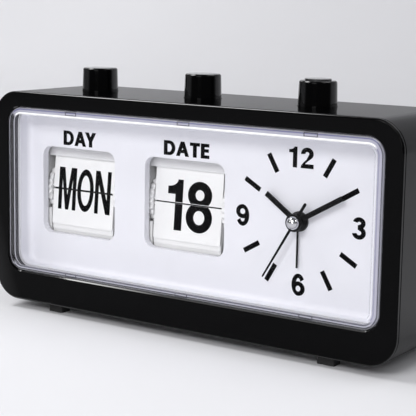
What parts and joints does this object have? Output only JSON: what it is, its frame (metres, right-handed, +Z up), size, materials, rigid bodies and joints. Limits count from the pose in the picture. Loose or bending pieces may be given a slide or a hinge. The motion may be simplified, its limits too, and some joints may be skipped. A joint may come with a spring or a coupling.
{
  "type": "split-flap calendar alarm clock",
  "caption": "Desk quartz alarm clock in a wide black case: analogue dial beside split-flap day and date windows behind a clear lens, stepped by push buttons on top.",
  "frame": {"origin": "centre of the bounding box, on the table plane under the feet", "axes": "+X to the right seen from the front, +Y from the front face to the back, +Z up"},
  "size_m": [0.18, 0.052, 0.097],
  "materials": {
    "black_gloss": "gloss",
    "black_matte": "fine texture",
    "disc_grey": "satin",
    "clear": "clear gloss",
    "dial_white": "satin",
    "leaf_white": "satin film",
    "lip_film": "satin film",
    "frame_plastic": "satin",
    "acetal": "satin",
    "hand_black": "matt paint",
    "cap_chrome": "polished",
    "steel": "bright",
    "work_brass": "turned",
    "cell_jacket": "gloss print",
    "foot_rubber": "matt"
  },
  "bodies": {
    "case": {"front_bezel": "black_gloss", "case_shell": "black_gloss", "rear_cover": "black_matte", "lens": "clear", "dial_plate": "dial_white", "day_frame": "frame_plastic", "date_frame": "frame_plastic", "day_leaf_lip": "lip_film", "date_leaf_lip": "lip_film", "day_detent": "steel", "date_detent": "steel", "day_spring": "steel", "date_spring": "steel", "alarm_spring": "steel", "alarm_switch": "black_matte", "alarm_guide": "frame_plastic", "movement_case": "black_matte", "movement_nut": "black_matte", "battery_tray": "black_matte", "battery": "cell_jacket", "battery_spring": "steel", "battery_contact": "steel", "buzzer": "black_matte", "front_feet": "foot_rubber", "rear_feet": "foot_rubber", "cover_screws": "steel", "frame_screws": "steel"},
    "day_push": {"day_button": "black_gloss", "day_pawl": "acetal"},
    "day_drum_turning": {"day_drum": "frame_plastic", "day_axle": "steel", "day_ratchet": "acetal", "day_leaf_pack": "leaf_white"},
    "day_leaf_falling": {"day_flip_leaf": "leaf_white"},
    "date_push": {"date_button": "black_gloss", "date_pawl": "acetal"},
    "date_drum_turning": {"date_drum": "frame_plastic", "date_axle": "steel", "date_ratchet": "acetal", "date_leaf_pack": "leaf_white"},
    "date_leaf_falling": {"date_flip_leaf": "leaf_white"},
    "alarm_push": {"alarm_button": "black_gloss", "alarm_button_disc": "disc_grey", "alarm_plunger": "acetal"},
    "minute_work": {"minute_hand": "hand_black", "minute_pipe": "work_brass"},
    "hour_work": {"hour_hand": "hand_black", "hour_pipe": "work_brass"},
    "second_work": {"second_hand": "hand_black", "second_staff": "work_brass", "hand_cap": "cap_chrome"},
    "alarm_work": {"alarm_hand": "hand_black", "alarm_pipe": "work_brass"},
    "time_setting": {"time_knob": "black_matte", "time_shaft": "work_brass"},
    "alarm_setting": {"alarm_knob": "black_matte", "alarm_shaft": "work_brass"},
    "battery_flap": {"battery_door": "black_matte"}
  },
  "joints": [
    {"name": "day_press", "type": "slide", "parent": "case", "child": "day_push", "axis": [0, 0, -1], "range_m": [0, 0.0022], "stiffness_N_per_m": 600, "springref_m": -0.001, "deforming": ["day_spring"]},
    {"name": "day_drum_step", "type": "hinge", "parent": "case", "child": "day_drum_turning", "pos_m": [-0.0573, -0.0002, 0.04705], "axis": [1, 0, 0], "range_deg": [0, 12.87], "deforming": ["day_detent"]},
    {"name": "day_leaf_fall", "type": "hinge", "parent": "day_drum_turning", "child": "day_leaf_falling", "pos_m": [-0.0573, -0.01004, 0.04884], "axis": [1, 0, 0], "range_deg": [0, 167.91], "deforming": ["day_leaf_lip"]},
    {"name": "date_press", "type": "slide", "parent": "case", "child": "date_push", "axis": [0, 0, -1], "range_m": [0, 0.0022], "stiffness_N_per_m": 600, "springref_m": -0.001, "deforming": ["date_spring"]},
    {"name": "date_drum_step", "type": "hinge", "parent": "case", "child": "date_drum_turning", "pos_m": [-0.00615, -0.0002, 0.04705], "axis": [1, 0, 0], "range_deg": [0, 11.62], "deforming": ["date_detent"]},
    {"name": "date_leaf_fall", "type": "hinge", "parent": "date_drum_turning", "child": "date_leaf_falling", "pos_m": [-0.00615, -0.01007, 0.04866], "axis": [1, 0, 0], "range_deg": [0, 168.15], "deforming": ["date_leaf_lip"]},
    {"name": "alarm_press", "type": "slide", "parent": "case", "child": "alarm_push", "axis": [0, 0, -1], "range_m": [0, 0.0022], "stiffness_N_per_m": 600, "springref_m": -0.001, "deforming": ["alarm_spring"]},
    {"name": "minute_turn", "type": "hinge", "parent": "case", "child": "minute_work", "pos_m": [0.0454, -0.018, 0.0477], "axis": [0, 1, 0], "continuous": true},
    {"name": "hour_turn", "type": "hinge", "parent": "case", "child": "hour_work", "pos_m": [0.0454, -0.017, 0.0477], "axis": [0, 1, 0], "continuous": true},
    {"name": "second_turn", "type": "hinge", "parent": "case", "child": "second_work", "pos_m": [0.0454, -0.0186, 0.0477], "axis": [0, 1, 0], "continuous": true},
    {"name": "alarm_turn", "type": "hinge", "parent": "case", "child": "alarm_work", "pos_m": [0.0454, -0.0162, 0.0477], "axis": [0, 1, 0], "continuous": true},
    {"name": "time_set", "type": "hinge", "parent": "case", "child": "time_setting", "pos_m": [0.0584, 0.021, 0.0617], "axis": [0, 1, 0], "continuous": true},
    {"name": "alarm_set", "type": "hinge", "parent": "case", "child": "alarm_setting", "pos_m": [0.0324, 0.021, 0.0617], "axis": [0, 1, 0], "continuous": true},
    {"name": "battery_flap_open", "type": "hinge", "parent": "case", "child": "battery_flap", "pos_m": [0.0504, 0.0247, 0.02605], "axis": [-1, 0, 0], "range_deg": [0, 80]}
  ],
  "couplings": [
    {"joint": "day_drum_step", "follows": "day_press", "rad_per_m": 102},
    {"joint": "day_leaf_fall", "follows": "day_press", "rad_per_m": 1331.7},
    {"joint": "date_drum_step", "follows": "date_press", "rad_per_m": 92.129},
    {"joint": "date_leaf_fall", "follows": "date_press", "rad_per_m": 1333.6},
    {"joint": "hour_turn", "follows": "minute_turn", "ratio": 0.083333},
    {"joint": "time_set", "follows": "minute_turn", "ratio": -3},
    {"joint": "alarm_set", "follows": "alarm_turn", "ratio": -2}
  ]
}
